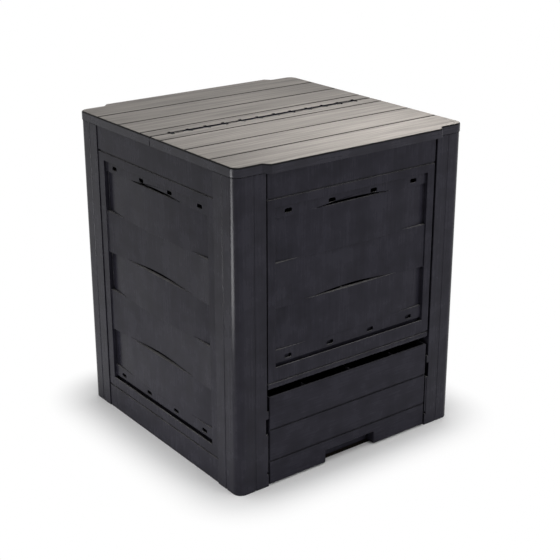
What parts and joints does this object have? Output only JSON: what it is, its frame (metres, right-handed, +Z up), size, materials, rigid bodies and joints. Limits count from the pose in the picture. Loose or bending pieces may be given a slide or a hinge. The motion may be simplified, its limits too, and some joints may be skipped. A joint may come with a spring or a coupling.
{
  "type": "square panel composter",
  "caption": "Square garden composter of corner posts and slatted wall panels, with a lid of hinged flaps and a hinged emptying hatch low on the front.",
  "frame": {"origin": "on the ground under the middle of the bin", "axes": "+Z up, the hatch and the front lid flap face -Y, +X to the right seen from the front"},
  "size_m": [0.612, 0.64, 0.714],
  "materials": {
    "charcoal_plastic": "satin moulded polypropylene with a fine grain",
    "lid_plastic": "satin moulded polypropylene with a lengthwise grain",
    "rod_steel": "drawn wire"
  },
  "bodies": {
    "bin": {"post_front_left": "charcoal_plastic", "post_front_right": "charcoal_plastic", "post_rear_right": "charcoal_plastic", "post_rear_left": "charcoal_plastic", "panel_left": "charcoal_plastic", "panel_right": "charcoal_plastic", "panel_rear": "charcoal_plastic", "panel_front": "charcoal_plastic", "lid_crossbar": "charcoal_plastic", "hinge_rod_front": "rod_steel", "hinge_rod_rear": "rod_steel"},
    "front_flap": {"lid_front": "lid_plastic"},
    "rear_flap": {"lid_rear": "lid_plastic"},
    "front_hatch": {"hatch": "charcoal_plastic"}
  },
  "joints": [
    {"name": "lid_front_hinge", "type": "hinge", "parent": "bin", "child": "front_flap", "pos_m": [0, -0.0085, 0.708], "axis": [-1, 0, 0], "range_deg": [0, 90]},
    {"name": "lid_rear_hinge", "type": "hinge", "parent": "bin", "child": "rear_flap", "pos_m": [0, 0.0085, 0.708], "axis": [1, 0, 0], "range_deg": [0, 90]},
    {"name": "hatch_hinge", "type": "hinge", "parent": "bin", "child": "front_hatch", "pos_m": [0, -0.291, 0.171], "axis": [-1, 0, 0], "range_deg": [0, 85]}
  ]
}
